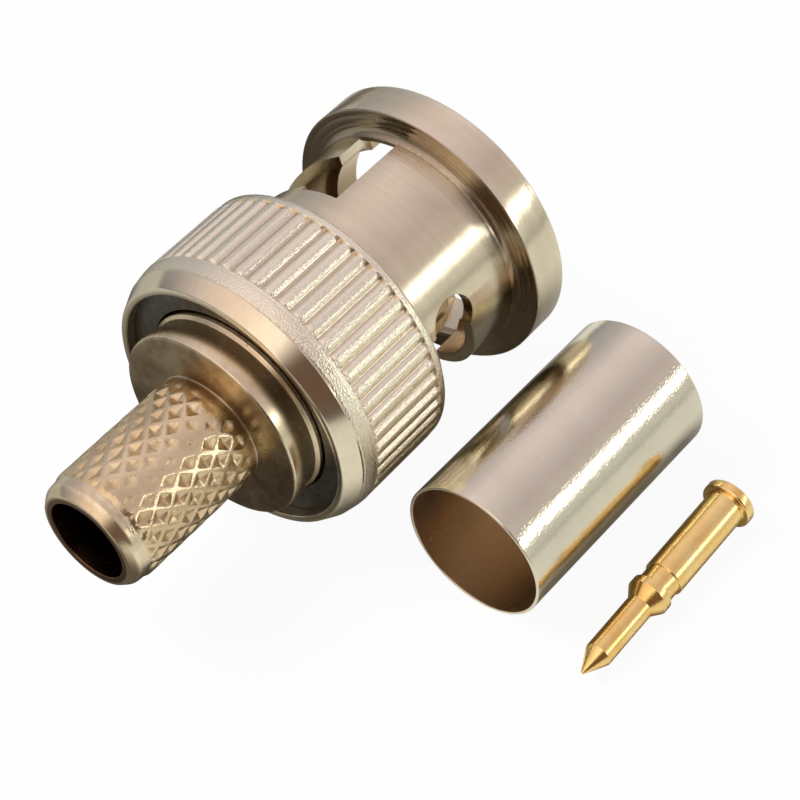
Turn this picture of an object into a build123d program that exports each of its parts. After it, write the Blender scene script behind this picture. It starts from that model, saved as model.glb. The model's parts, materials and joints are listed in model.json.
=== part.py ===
# Bayonet coaxial plug for crimping on to a cable, with its crimp sleeve and its centre contact
# lying loose beside it. Millimetres. The connector lies along X with its mating end towards +X,
# and the three pieces lie on the surface z = 0. The origin is at the bottom centre of the group.
#
# Each turned piece is drawn in a frame of its own: Z is its axis, pointing at the mating end, and
# a station is a height along that axis. Station 0 is the front edge of the knurled ring.
import math
import os

from build123d import *

os.makedirs("parts", exist_ok=True)

# Round sizes of the connector, each a wall or a gap outside the one before it
outer_contact_radius = 4.05
outer_contact_wall = 0.55
jack_shell_gap = 0.85
neck_wall = 0.95
end_flange_height = 1.3
ring_wall = 0.7
lip_overlap = 0.2
washer_width = 1.5
mouth_flare = 0.6

# Coupling nut
neck_length = 6.85
end_flange_thickness = 2.05
neck_fillet = 0.45
stud_relief_depth = 0.4
stud_relief_rear = 0.6
nut_edge = 0.12
rib_count = 52
rib_phase = 4.4
rib_front = -0.42
rib_length = 4.43
rib_groove_depth = 0.2
rib_groove_radius = 0.3
ring_land = 0.3
ring_shoulder_round = 0.6
bevel_length = 1.5
lip_rim = 0.33
lip_round = 0.2
lip_bore_round = 0.08
lip_thickness = 0.57

# Bayonet slots of the nut, two of them half a turn apart
stud_slot_width = 2.2
entry_angle = 70.8
entry_rear = 2.2
entry_bridge = 0.35
entry_groove_depth = 0.75
detent_angle = -15.8
detent_station = 2.53
detent_radius = 1.3
ramp_width = 2.35
ramp_pitch = 7.3
ramp_drop = 0.39

# Body, turned in one piece with the knurled crimp stem
body_flange_thickness = 0.98
front_barrel_length = 1.9
collar_behind_lip = 1.33
collar_width = 0.83
collar_edge = 0.12
undercut_depth = 0.17
undercut_behind_washer = 0.17
chamber_floor = 0.63
stem_length = 8.02
stem_bore_radius = 2.05
stem_wall = 0.71
stem_rim_wall = 0.41
stem_band_length = 0.9
stem_taper = 0.55
stem_rim_round = 0.1
knurl_sink = 0.1
knurl_depth = 0.28
knurl_overlap = 0.16
knurl_count = 18
knurl_rows = 11

# Pieces inside the nut
outer_contact_reach = 6.0
outer_contact_seat = 1.5
outer_contact_round = 0.25
contact_slots = 6
contact_slot_width = 0.4
contact_slot_length = 4.9
insulator_recess = 0.6
insulator_flange_reach = 0.6
insulator_round = 0.15
cup_wall = 0.95
seated_tip_recess = 0.4
bead_lip = 0.15
gasket_thickness = 0.6
gasket_bore_gap = 0.08
gasket_edge_gap = 0.05
washer_thickness = 0.4
wave_thickness = 0.25
wave_height = 1.06
wave_count = 3
wave_steps = 48
wave_edge_gap = 0.05
wave_bore_gap = 0.2

# Crimp sleeve, with room for the cable's braid between it and the stem
braid_room = 0.37
sleeve_wall = 0.34
sleeve_length = 12.6
sleeve_edge = 0.08
sleeve_yaw = -0.75

# Centre contact, with lengths measured from its tip
wire_bore_radius = 0.55
wire_bore_depth = 4.6
contact_wall = 0.43
contact_tip_length = 1.2
contact_tip_flat = 0.08
contact_pin_radius = 0.66
contact_cone_start = 4.4
contact_bead_start = 5.0
contact_bead_width = 0.4
contact_bead_height = 0.06
contact_neck_width = 0.85
contact_neck_depth = 0.1
contact_collar_height = 0.3
contact_collar_width = 0.53
contact_edge = 0.08

# Clearances, and how far a cutter passes a wall or a joined piece
running_clearance = 0.1
face_clearance = 0.02
contact_clearance = 0.02
cut_margin = 0.5

# Where the loose pieces lie, beside the connector and along it from station 0
sleeve_gap = 1.1
sleeve_start = -4.16
contact_gap = 1.67
contact_tip_start = -4.8

# Radii that follow from the sizes above
bore_radius = outer_contact_radius + jack_shell_gap
neck_radius = bore_radius + neck_wall
nut_radius = neck_radius + end_flange_height
relief_radius = bore_radius + stud_relief_depth
mouth_radius = bore_radius + mouth_flare
chamber_radius = nut_radius - ring_wall
lip_bore_radius = chamber_radius - lip_overlap
lip_radius = lip_bore_radius + lip_rim
flange_radius = chamber_radius - running_clearance
front_barrel_radius = bore_radius - running_clearance
collar_radius = chamber_radius - washer_width
undercut_radius = collar_radius - undercut_depth
outer_contact_bore = outer_contact_radius - outer_contact_wall
cup_radius = outer_contact_bore - running_clearance
jack_nose_radius = cup_radius - cup_wall
stem_band_radius = stem_bore_radius + stem_wall
stem_rim_radius = stem_bore_radius + stem_rim_wall
knurl_root_radius = stem_band_radius - knurl_sink
knurl_crest_radius = knurl_root_radius + knurl_depth
stem_core_radius = knurl_root_radius - knurl_overlap
sleeve_bore_radius = knurl_crest_radius + braid_room
sleeve_radius = sleeve_bore_radius + sleeve_wall
contact_barrel_radius = wire_bore_radius + contact_wall
contact_bead_radius = contact_barrel_radius + contact_bead_height
contact_neck_radius = contact_barrel_radius - contact_neck_depth
contact_collar_radius = contact_barrel_radius + contact_collar_height

# Stations that follow, from the nut's lip forward through what it holds, then back along the stem
nut_front = neck_length + end_flange_thickness
rib_rear = rib_front - rib_length
ring_rear = rib_rear - ring_land
lip_end = ring_rear - bevel_length
lip_face = lip_end + lip_thickness
washer_rear = lip_face + face_clearance
washer_front = washer_rear + washer_thickness
wave_rear = washer_front + face_clearance
body_flange_rear = wave_rear + wave_height
body_flange_front = body_flange_rear + body_flange_thickness
shoulder_station = body_flange_front + face_clearance
body_front = body_flange_front + front_barrel_length
outer_contact_rear = body_front - outer_contact_seat
outer_contact_front = body_front + outer_contact_reach
insulator_front = outer_contact_front - insulator_recess
seated_tip_station = outer_contact_front - seated_tip_recess
collar_rear = lip_end - collar_behind_lip
collar_front = collar_rear + collar_width
undercut_front = lip_face - undercut_behind_washer
insulator_rear = collar_rear + chamber_floor
stem_end = collar_rear - stem_length
stem_band_front = stem_end + stem_band_length

# The centre contact's collar seats on the insulator's rear face, and its bead in a groove
contact_collar_start = seated_tip_station - insulator_rear
contact_length = contact_collar_start + contact_collar_width
contact_bead_end = contact_bead_start + contact_bead_width
contact_neck_end = contact_bead_end + contact_neck_width
bead_seat_front = seated_tip_station - contact_bead_start
bead_seat_rear = seated_tip_station - contact_bead_end - contact_clearance

# The connector's axis, with the group's bounding box centred on the origin
sleeve_offset = nut_radius + sleeve_gap + sleeve_radius
contact_offset = sleeve_offset + sleeve_radius + contact_gap + contact_collar_radius
axis_x = -(stem_end + nut_front) / 2
axis_y = (contact_offset + contact_collar_radius - nut_radius) / 2
axis_z = nut_radius
along_x = Plane(origin=(axis_x, axis_y, axis_z), x_dir=(0, -1, 0), z_dir=(1, 0, 0))


def turned(*corners):
    """Solid of revolution about Z. A corner is (radius, station) or (radius, station, rounding)."""
    points = [(corner[0], 0, corner[1]) for corner in corners]
    profile = make_face(Polyline(*points, close=True))
    for point, corner in zip(points, corners):
        if len(corner) == 3:
            profile = fillet(profile.vertices().sort_by_distance(point)[0], corner[2])
    return revolve(profile, Axis.Z)


def tube(outer, inner, start, end):
    ring = Circle(outer) - Circle(inner)
    return Pos(0, 0, start) * extrude(ring, end - start)


def on_cylinder(radius, angle, station):
    turn = math.radians(angle)
    return Vector(radius * math.cos(turn), radius * math.sin(turn), station)


def faceted_solid(outlines):
    faces = [Face(Wire.make_polygon(corners, close=True)) for corners in outlines]
    return Solid(Shell(faces))


def stud_slots():
    """Cutters for one slot: the straight entry, its blind groove to the mouth, the ramp, the detent."""
    middle = (neck_radius + bore_radius) / 2
    depth = neck_wall + 2 * cut_margin
    from_start = (Align.CENTER, Align.CENTER, Align.MIN)
    entry_length = neck_length - entry_bridge - entry_rear
    entry = Pos(middle, 0, entry_rear) * Box(depth, stud_slot_width, entry_length, align=from_start)
    groove_radius = bore_radius + entry_groove_depth
    groove_length = nut_front - entry_rear
    groove_block = Box(2 * groove_radius, stud_slot_width, groove_length, align=from_start)
    groove = Cylinder(groove_radius, groove_length, align=from_start) & Pos(groove_radius, 0, 0) * groove_block
    groove = Pos(0, 0, entry_rear) * groove

    turn = entry_angle - detent_angle
    path = Helix(pitch=ramp_pitch, height=ramp_pitch * turn / 360, radius=middle)
    section = Plane(origin=path @ 0, x_dir=(1, 0, 0), z_dir=path % 0) * Rectangle(depth, ramp_width)
    ramp_start = Pos(0, 0, detent_station - ramp_drop) * Rot(0, 0, detent_angle)
    ramp = ramp_start * sweep(section, path=path, is_frenet=True)

    drill = Plane(origin=(0, 0, detent_station), z_dir=on_cylinder(1, detent_angle, 0))
    detent = drill * Pos(0, 0, middle) * Cylinder(detent_radius, depth)
    return [Rot(0, 0, entry_angle) * entry, Rot(0, 0, entry_angle) * groove, ramp, detent]


def coupling_nut():
    blank = turned(
        (mouth_radius, nut_front),
        (nut_radius, nut_front, nut_edge),
        (nut_radius, neck_length, nut_edge),
        (neck_radius, neck_length, neck_fillet),
        (neck_radius, 0),
        (nut_radius, 0, nut_edge),
        (nut_radius, ring_rear, ring_shoulder_round),
        (lip_radius, lip_end, lip_round),
        (lip_bore_radius, lip_end, lip_bore_round),
        (lip_bore_radius, lip_face),
        (chamber_radius, lip_face),
        (chamber_radius, shoulder_station),
        (bore_radius, shoulder_station),
        (bore_radius, stud_relief_rear),
        (relief_radius, stud_relief_rear + stud_relief_depth),
        (relief_radius, neck_length - stud_relief_depth),
        (bore_radius, neck_length),
        (bore_radius, nut_front - mouth_flare),
    )
    groove_centre = nut_radius - rib_groove_depth + rib_groove_radius
    groove = Pos(groove_centre, 0, rib_front - rib_length / 2) * Cylinder(rib_groove_radius, rib_length)
    pitch = 360 / rib_count
    cutters = [Rot(0, 0, pitch * index - rib_phase) * groove for index in range(rib_count)]
    for half_turn in (0, 180):
        cutters += [Rot(0, 0, half_turn) * cutter for cutter in stud_slots()]
    return blank - cutters


def diamond_knurl(start, end):
    """Faceted stem: crests joined by crossing ridges, with a pit at each root between them."""
    columns = 2 * knurl_count
    step = (end - start) / knurl_rows

    def corner(column, row):
        radius = knurl_crest_radius if (column + row) % 2 else knurl_root_radius
        return on_cylinder(radius, 360 * (column % columns) / columns, start + step * row)

    outlines = []
    for row in range(knurl_rows):
        for column in range(columns):
            near, far = corner(column, row), corner(column + 1, row + 1)
            side, up = corner(column + 1, row), corner(column, row + 1)
            if (column + row) % 2:
                outlines += [(near, side, far), (near, far, up)]
            else:
                outlines += [(near, side, up), (side, far, up)]
    for row in (0, knurl_rows):
        middle = Vector(0, 0, start + step * row)
        outlines += [(middle, corner(column, row), corner(column + 1, row)) for column in range(columns)]
    return faceted_solid(outlines)


def plug_body():
    core = turned(
        (stem_bore_radius, stem_end),
        (stem_rim_radius, stem_end, stem_rim_round),
        (stem_band_radius, stem_end + stem_taper, stem_taper / 2),
        (stem_band_radius, stem_band_front),
        (stem_core_radius, stem_band_front),
        (stem_core_radius, collar_rear),
        (collar_radius, collar_rear, collar_edge),
        (collar_radius, collar_front),
        (undercut_radius, collar_front + collar_edge),
        (undercut_radius, undercut_front - collar_edge),
        (collar_radius, undercut_front),
        (collar_radius, body_flange_rear),
        (flange_radius, body_flange_rear),
        (flange_radius, body_flange_front),
        (front_barrel_radius, body_flange_front),
        (front_barrel_radius, body_front),
        (outer_contact_radius, body_front),
        (outer_contact_radius, outer_contact_rear),
        (outer_contact_bore, outer_contact_rear),
        (outer_contact_bore, insulator_rear),
        (stem_bore_radius, insulator_rear),
    )
    bore = Cylinder(stem_bore_radius, 2 * abs(stem_end))
    return core + (diamond_knurl(stem_band_front, collar_rear + collar_edge) - bore)


def outer_contact():
    sleeve = turned(
        (outer_contact_bore, outer_contact_rear),
        (outer_contact_radius, outer_contact_rear),
        (outer_contact_radius, outer_contact_front, outer_contact_round),
        (outer_contact_bore, outer_contact_front),
    )
    reach = outer_contact_radius + cut_margin
    length = contact_slot_length + cut_margin
    slot_middle = outer_contact_front + cut_margin - length / 2
    slot = Pos(reach / 2, 0, slot_middle) * Box(reach, contact_slot_width, length)
    return sleeve - [Rot(0, 0, 360 * index / contact_slots) * slot for index in range(contact_slots)]


def insulator():
    """Cup that takes the jack's nose, bored for the centre contact, with a groove that its bead snaps into."""
    contact_bore = contact_barrel_radius + contact_clearance
    bead_seat = contact_bead_radius + contact_clearance
    cup_floor = bead_seat_front + bead_lip
    return turned(
        (contact_bore, insulator_rear),
        (outer_contact_bore, insulator_rear),
        (outer_contact_bore, outer_contact_rear + insulator_flange_reach),
        (cup_radius, outer_contact_rear + insulator_flange_reach),
        (cup_radius, insulator_front, insulator_round),
        (jack_nose_radius, insulator_front, insulator_round),
        (jack_nose_radius, cup_floor),
        (contact_bore, cup_floor),
        (contact_bore, bead_seat_front),
        (bead_seat, bead_seat_front),
        (bead_seat, bead_seat_rear),
        (contact_bore, bead_seat_rear),
    )


def gasket():
    outer = front_barrel_radius - gasket_edge_gap
    inner = outer_contact_radius + gasket_bore_gap
    return tube(outer, inner, body_front, body_front + gasket_thickness)


def flat_washer():
    return tube(flange_radius, collar_radius + running_clearance, washer_rear, washer_front)


def wave_washer():
    """Spring ring whose height follows a sine, from the body's flange to the flat washer."""
    swing = (wave_height - wave_thickness) / 2
    outer_edge, inner_edge = flange_radius - wave_edge_gap, collar_radius + wave_bore_gap

    def corner(radius, step, height):
        angle = 360 * (step % wave_steps) / wave_steps
        wave = swing * math.cos(math.radians(wave_count * angle))
        return on_cylinder(radius, angle, wave_rear + swing + wave + height)

    outlines = []
    for step in range(wave_steps):
        for height in (0, wave_thickness):
            inner = corner(inner_edge, step, height)
            outer = corner(outer_edge, step, height)
            next_inner = corner(inner_edge, step + 1, height)
            next_outer = corner(outer_edge, step + 1, height)
            outlines += [(inner, outer, next_outer), (inner, next_outer, next_inner)]
        for radius in (inner_edge, outer_edge):
            low_corner, high_corner = corner(radius, step, 0), corner(radius, step, wave_thickness)
            next_low, next_high = corner(radius, step + 1, 0), corner(radius, step + 1, wave_thickness)
            outlines += [(low_corner, next_low, next_high, high_corner)]
    return faceted_solid(outlines)


def crimp_sleeve():
    sleeve = turned(
        (sleeve_bore_radius, 0, sleeve_edge),
        (sleeve_radius, 0, sleeve_edge),
        (sleeve_radius, sleeve_length, sleeve_edge),
        (sleeve_bore_radius, sleeve_length, sleeve_edge),
    )
    start = (axis_x + sleeve_start, axis_y - sleeve_offset, sleeve_radius)
    return Pos(*start) * Rot(0, 0, sleeve_yaw) * Rot(0, 90, 0) * sleeve


def center_contact():
    contact = turned(
        (0, 0),
        (contact_tip_flat, 0),
        (contact_pin_radius, contact_tip_length),
        (contact_pin_radius, contact_cone_start),
        (contact_bead_radius, contact_bead_start),
        (contact_bead_radius, contact_bead_end),
        (contact_neck_radius, contact_bead_end),
        (contact_neck_radius, contact_neck_end),
        (contact_barrel_radius, contact_neck_end, contact_edge),
        (contact_barrel_radius, contact_collar_start),
        (contact_collar_radius, contact_collar_start, contact_edge),
        (contact_collar_radius, contact_length, contact_edge),
        (wire_bore_radius, contact_length),
        (wire_bore_radius, contact_length - wire_bore_depth),
        (0, contact_length - wire_bore_depth - wire_bore_radius),
    )
    # It rests on its collar and its bead, so its tip dips by the difference of their radii
    rest_span = contact_collar_start + contact_edge - contact_bead_start
    dip = math.atan((contact_collar_radius - contact_bead_radius) / rest_span)
    lift = contact_bead_radius * math.cos(dip) - contact_bead_start * math.sin(dip)
    start = (axis_x + contact_tip_start, axis_y - contact_offset, lift)
    return Pos(*start) * Rot(0, 90 - math.degrees(dip), 0) * contact


pieces = {
    "coupling_nut": along_x * coupling_nut(),
    "plug_body": along_x * plug_body(),
    "outer_contact": along_x * outer_contact(),
    "insulator": along_x * insulator(),
    "gasket": along_x * gasket(),
    "flat_washer": along_x * flat_washer(),
    "wave_washer": along_x * wave_washer(),
    "crimp_sleeve": crimp_sleeve(),
    "center_contact": center_contact(),
}
for name, piece in pieces.items():
    export_step(piece, f"parts/{name}.step")
    box = piece.bounding_box()
    print(name, "from", [round(v, 2) for v in box.min], "to", [round(v, 2) for v in box.max])
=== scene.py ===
import json
import math

import bmesh
import bpy
from mathutils import Matrix, Vector

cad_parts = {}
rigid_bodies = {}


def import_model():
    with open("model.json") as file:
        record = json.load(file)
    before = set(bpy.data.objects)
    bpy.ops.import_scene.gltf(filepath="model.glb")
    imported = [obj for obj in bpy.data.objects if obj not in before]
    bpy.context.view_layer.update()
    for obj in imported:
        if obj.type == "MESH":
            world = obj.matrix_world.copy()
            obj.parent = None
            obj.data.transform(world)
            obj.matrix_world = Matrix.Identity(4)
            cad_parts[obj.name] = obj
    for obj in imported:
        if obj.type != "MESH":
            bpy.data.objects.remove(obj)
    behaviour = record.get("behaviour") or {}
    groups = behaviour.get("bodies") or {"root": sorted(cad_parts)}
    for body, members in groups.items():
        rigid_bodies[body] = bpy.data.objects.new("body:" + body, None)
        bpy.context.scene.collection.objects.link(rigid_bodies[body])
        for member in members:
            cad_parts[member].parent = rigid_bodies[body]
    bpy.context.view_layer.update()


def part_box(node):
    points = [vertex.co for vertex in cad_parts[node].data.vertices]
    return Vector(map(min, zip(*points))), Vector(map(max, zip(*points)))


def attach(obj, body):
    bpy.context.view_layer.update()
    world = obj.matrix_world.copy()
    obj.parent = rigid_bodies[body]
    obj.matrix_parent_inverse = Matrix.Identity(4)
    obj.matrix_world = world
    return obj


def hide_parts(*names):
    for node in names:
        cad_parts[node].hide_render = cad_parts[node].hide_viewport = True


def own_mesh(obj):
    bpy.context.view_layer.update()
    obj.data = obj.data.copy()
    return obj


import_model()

mm = 0.001
fullTurn = 2 * math.pi


def roundedOutline(corners, arcSteps):
    # corners are (radius, station) or (radius, station, rounding); each point also holds its edge mask
    points = []
    for index, corner in enumerate(corners):
        here = Vector(corner[:2])
        if len(corner) < 3 or corner[2] == 0:
            points.append((here, 1.0))
            continue
        toLast = (Vector(corners[index - 1][:2]) - here).normalized()
        toNext = (Vector(corners[(index + 1) % len(corners)][:2]) - here).normalized()
        half = toLast.angle(toNext) / 2
        reach = corner[2] / math.tan(half)
        middle = here + (toLast + toNext).normalized() * corner[2] / math.sin(half)
        startArm = here + toLast * reach - middle
        endArm = here + toNext * reach - middle
        sweepAngle = startArm.angle_signed(endArm)
        for step in range(arcSteps + 1):
            turn = Matrix.Rotation(-sweepAngle * step / arcSteps, 2)
            points.append((middle + turn @ startArm, 1.0 if 0 < step < arcSteps else 0.5))
    return points


def splitRuns(points, runs):
    # puts extra points on a straight stretch: runs is a list of (low station, high station, spacing)
    result = []
    for index, (here, edge) in enumerate(points):
        result.append((here, edge))
        ahead = points[(index + 1) % len(points)][0]
        for low, high, spacing in runs:
            inside = low - 1e-4 <= min(here.y, ahead.y) and max(here.y, ahead.y) <= high + 1e-4
            if inside and abs(here.x - ahead.x) < 1e-4 and abs(ahead.y - here.y) > spacing:
                count = math.ceil(abs(ahead.y - here.y) / spacing)
                for step in range(1, count):
                    result.append((here.lerp(ahead, step / count), 0.0))
                break
    return result


def newPiece(name, mesh):
    piece = bpy.data.objects.new(name, mesh)
    bpy.context.scene.collection.objects.link(piece)
    return piece


def pieceFrom(bm, name):
    bmesh.ops.recalc_face_normals(bm, faces=bm.faces)
    mesh = bpy.data.meshes.new(name)
    bm.to_mesh(mesh)
    bm.free()
    return newPiece(name, mesh)


def joinRings(bm, rings, closed):
    # faces from each ring of corners to the next, and from the last to the first where it is closed
    count = len(rings[0])
    for index in range(len(rings) if closed else len(rings) - 1):
        ring, ahead = rings[index], rings[(index + 1) % len(rings)]
        for step in range(count):
            after = (step + 1) % count
            unique = list(dict.fromkeys((ring[step], ring[after], ahead[after], ahead[step])))
            if len(unique) > 2:
                bm.faces.new(unique)


def turnedPiece(name, points, segments):
    # closed solid of revolution about local Z, in millimetres, with an edge mask for the wear
    bm = bmesh.new()
    edgeLayer = bm.verts.layers.float.new("edge")
    rings = []
    for point, edge in points:
        onAxis = point.x < 1e-6
        ring = []
        for step in range(1 if onAxis else segments):
            angle = fullTurn * step / segments
            ring.append(bm.verts.new((point.x * math.cos(angle), point.x * math.sin(angle), point.y)))
            ring[-1][edgeLayer] = edge
        rings.append(ring * segments if onAxis else ring)
    joinRings(bm, rings, True)
    return pieceFrom(bm, name)


def loftCutter(name, sections):
    # closed solid through sections of equal corner counts
    bm = bmesh.new()
    rings = [[bm.verts.new(point) for point in section] for section in sections]
    joinRings(bm, rings, False)
    bm.faces.new(rings[0])
    bm.faces.new(rings[-1])
    return pieceFrom(bm, name)


def blockCutter(name, low, high, degrees):
    # a block between two corners, turned about local Z
    turn = Matrix.Rotation(math.radians(degrees), 3, "Z")
    plan = ((low[0], low[1]), (high[0], low[1]), (high[0], high[1]), (low[0], high[1]))
    sections = [[turn @ Vector((x, y, station)) for x, y in plan] for station in (low[2], high[2])]
    return loftCutter(name, sections)


def applyModifiers(piece):
    # turns what the modifiers make into the piece's own plain mesh
    graph = bpy.context.evaluated_depsgraph_get()
    result = piece.evaluated_get(graph)
    mesh = bpy.data.meshes.new_from_object(result, preserve_all_data_layers=True, depsgraph=graph)
    piece.modifiers.clear()
    piece.data = mesh
    mesh.name = piece.name


def cutWith(piece, cutters):
    # takes each closed cutter out of the piece
    for cutter in cutters:
        cut = piece.modifiers.new("cut", "BOOLEAN")
        cut.operation = "DIFFERENCE"
        cut.solver = "MANIFOLD"
        cut.object = cutter
    applyModifiers(piece)
    for cutter in cutters:
        bpy.data.objects.remove(cutter)


def finishPiece(piece, place, material, body, nodes, sharpAngle=38):
    # shade, move from the piece's own frame to the row's, and say what it rides on and stands for
    mesh = piece.data
    mesh.transform(place)
    mesh.polygons.foreach_set("use_smooth", [True] * len(mesh.polygons))
    mesh.set_sharp_from_angle(angle=math.radians(sharpAngle))
    mesh.materials.clear()
    mesh.materials.append(material)
    mesh.update()
    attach(piece, body)
    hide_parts(*nodes)


class TreeMaker:
    # adds nodes to a tree and links their sockets
    def __init__(self, tree):
        self.tree = tree

    def node(self, kind, settings=None, **inputs):
        made = self.tree.nodes.new(kind)
        for key, value in (settings or {}).items():
            setattr(made, key, value)
        for key, value in inputs.items():
            # i0, i1 and so on are sockets by number, other keys are sockets by name
            numbered = key[0] == "i" and key[1:].isdigit()
            self.feed(made.inputs[int(key[1:]) if numbered else key.replace("_", " ")], value)
        return made

    def feed(self, socket, value):
        if isinstance(value, bpy.types.NodeSocket):
            self.tree.links.new(value, socket)
        else:
            socket.default_value = value

    def math(self, operation, first, second=0.0, clamp=False):
        made = self.node("ShaderNodeMath", {"operation": operation, "use_clamp": clamp}, i0=first, i1=second)
        return made.outputs[0]

    def plus(self, first, second):
        return self.math("ADD", first, second)

    def minus(self, first, second):
        return self.math("SUBTRACT", first, second)

    def times(self, first, *others):
        for other in others:
            first = self.math("MULTIPLY", first, other)
        return first

    def scaled(self, value, factor, offset):
        made = self.node("ShaderNodeMath", {"operation": "MULTIPLY_ADD"}, i0=value, i1=factor, i2=offset)
        return made.outputs[0]

    def noise(self, where, scale, detail, roughness=0.5):
        made = self.node("ShaderNodeTexNoise", Scale=scale, Detail=detail, Roughness=roughness)
        if where is not None:
            self.feed(made.inputs["Vector"], where)
        return made.outputs[0]

    def mix(self, share, first, second, blend="MIX"):
        made = self.node("ShaderNodeMix", {"data_type": "RGBA", "blend_type": blend}, i0=share)
        self.feed(made.inputs[6], first)
        self.feed(made.inputs[7], second)
        return made.outputs[2]

    def spread(self, value, lowIn, highIn, lowOut, highOut, smooth=False):
        made = self.node("ShaderNodeMapRange", {"interpolation_type": "SMOOTHSTEP" if smooth else "LINEAR"})
        for index, item in enumerate((value, lowIn, highIn, lowOut, highOut)):
            self.feed(made.inputs[index], item)
        return made.outputs[0]

    def length(self, x=0.0, y=0.0, z=0.0):
        parts = self.node("ShaderNodeCombineXYZ", i0=x, i1=y, i2=z)
        made = self.node("ShaderNodeVectorMath", {"operation": "LENGTH"}, i0=parts.outputs[0])
        return made.outputs["Value"]


def groupSocket(tree, name, kind, inOut, default=None):
    made = tree.interface.new_socket(name, in_out=inOut, socket_type=kind)
    if default is not None:
        made.default_value = default


def startPressTree(name, values):
    # Geometry Nodes that press a pattern into a turned blank: inputs, place and direction of each point
    tree = bpy.data.node_groups.new(name, "GeometryNodeTree")
    groupSocket(tree, "Geometry", "NodeSocketGeometry", "INPUT")
    for key, value in values.items():
        groupSocket(tree, key, "NodeSocketFloat", "INPUT", value)
    groupSocket(tree, "Finish", "NodeSocketMaterial", "INPUT")
    groupSocket(tree, "Geometry", "NodeSocketGeometry", "OUTPUT")
    make = TreeMaker(tree)
    given = make.node("NodeGroupInput").outputs
    place = make.node("ShaderNodeSeparateXYZ", i0=make.node("GeometryNodeInputPosition").outputs[0]).outputs
    flat = make.node("ShaderNodeCombineXYZ", i0=place[0], i1=place[1])
    outward = make.node("ShaderNodeVectorMath", {"operation": "NORMALIZE"}, i0=flat.outputs[0])
    angle = make.math("ARCTAN2", place[1], place[0])
    return tree, make, given, outward.outputs[0], make.length(place[0], place[1]), angle, place[2]


def endPressTree(tree, make, given, outward, depth, share):
    # moves the points inwards by depth and keeps share as the attribute that the finish reads
    shift = make.node("ShaderNodeVectorMath", {"operation": "SCALE"}, i0=outward)
    make.feed(shift.inputs["Scale"], make.times(depth, -1.0))
    kept = make.node(
        "GeometryNodeStoreNamedAttribute", {"data_type": "FLOAT", "domain": "POINT"},
        Geometry=given["Geometry"], Name="pressed", Value=share,
    )
    moved = make.node("GeometryNodeSetPosition", Geometry=kept.outputs[0], Offset=shift.outputs[0])
    real = make.node("GeometryNodeRealizeInstances", i0=moved.outputs[0])
    finished = make.node("GeometryNodeSetMaterial", i0=real.outputs[0], Material=given["Finish"])
    out = make.node("NodeGroupOutput")
    tree.links.new(finished.outputs[0], out.inputs[0])
    return tree


def pressedBand(make, given, station, radius):
    # the outer band that the wheel has pressed, from 0 to 1, with a short fade at each end
    rearEnd = make.plus(given["Band Rear"], given["Rear Fade"])
    frontEnd = make.minus(given["Band Front"], given["Front Fade"])
    rearSide = make.spread(station, given["Band Rear"], rearEnd, 0.0, 1.0, smooth=True)
    frontSide = make.spread(station, frontEnd, given["Band Front"], 1.0, 0.0, smooth=True)
    outside = make.math("GREATER_THAN", radius, given["Least Radius"])
    return make.times(rearSide, frontSide, outside)


def straightKnurlTree(values):
    # ribs with rounded ends, left standing between pressed grooves
    tree, make, given, outward, radius, angle, station = startPressTree("straightKnurl", values)
    perRadian = make.math("DIVIDE", given["Rib Count"], fullTurn)
    turns = make.scaled(angle, perRadian, given["Phase"])
    # distance round the ring from the nearest rib's middle
    halfPitch = make.math("DIVIDE", make.times(radius, math.pi), given["Rib Count"])
    sideways = make.times(make.math("PINGPONG", turns, 0.5), halfPitch, 2.0)
    toRear = make.minus(given["Rear"], station)
    toFront = make.minus(station, given["Front"])
    past = make.math("MAXIMUM", make.math("MAXIMUM", toRear, toFront), 0.0)
    fromCrest = make.minus(make.length(sideways, past), given["Crest"])
    share = make.math("DIVIDE", fromCrest, make.minus(halfPitch, given["Crest"]), clamp=True)
    rounded = make.spread(share, 0.0, 1.0, 0.0, 1.0, smooth=True)
    groove = make.spread(share, given["Grain Ends"], given["Smooth Starts"], 0.0, 1.0, smooth=True)
    band = pressedBand(make, given, station, radius)
    pressed = make.times(rounded, given["Depth"], band)
    return endPressTree(tree, make, given, outward, pressed, make.times(groove, band))


def diamondKnurlTree(values):
    # pressed pits between two sets of ridges that cross
    tree, make, given, outward, radius, angle, station = startPressTree("diamondKnurl", values)
    turns = make.scaled(angle, make.math("DIVIDE", given["Count"], fullTurn), given["Phase"])
    fromRear = make.minus(station, given["Band Rear"])
    rows = make.math("DIVIDE", fromRear, make.times(given["Row"], 2.0))
    left = make.math("PINGPONG", make.plus(turns, rows), 0.5)
    right = make.math("PINGPONG", make.minus(turns, rows), 0.5)
    inPit = make.times(make.math("MINIMUM", left, right), 2.0)
    uneven = make.spread(make.noise(None, given["Uneven Scale"], 2.0), 0.35, 0.65, given["Least Share"], 1.0)
    # one side of the stem that the wheel hardly touched
    aside = make.math("ABSOLUTE", make.minus(angle, given["Shallow Angle"]))
    shallow = make.spread(aside, given["Shallow Core"], given["Shallow Width"], 1.0, 0.0, smooth=True)
    weaker = make.scaled(shallow, make.times(given["Shallow Loss"], -1.0), 1.0)
    uneven = make.times(uneven, weaker)
    # where the wheel pressed less, the ridges stay wider
    narrowing = make.minus(given["Full Ridge"], given["Weak Ridge"])
    ridge = make.scaled(uneven, narrowing, given["Weak Ridge"])
    pit = make.spread(inPit, ridge, 1.0, 0.0, 1.0)
    band = pressedBand(make, given, station, radius)
    depth = make.times(pit, uneven, given["Depth"])
    pressed = make.times(make.minus(depth, given["Rise"]), band)
    return endPressTree(tree, make, given, outward, pressed, make.times(pit, band))


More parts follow.
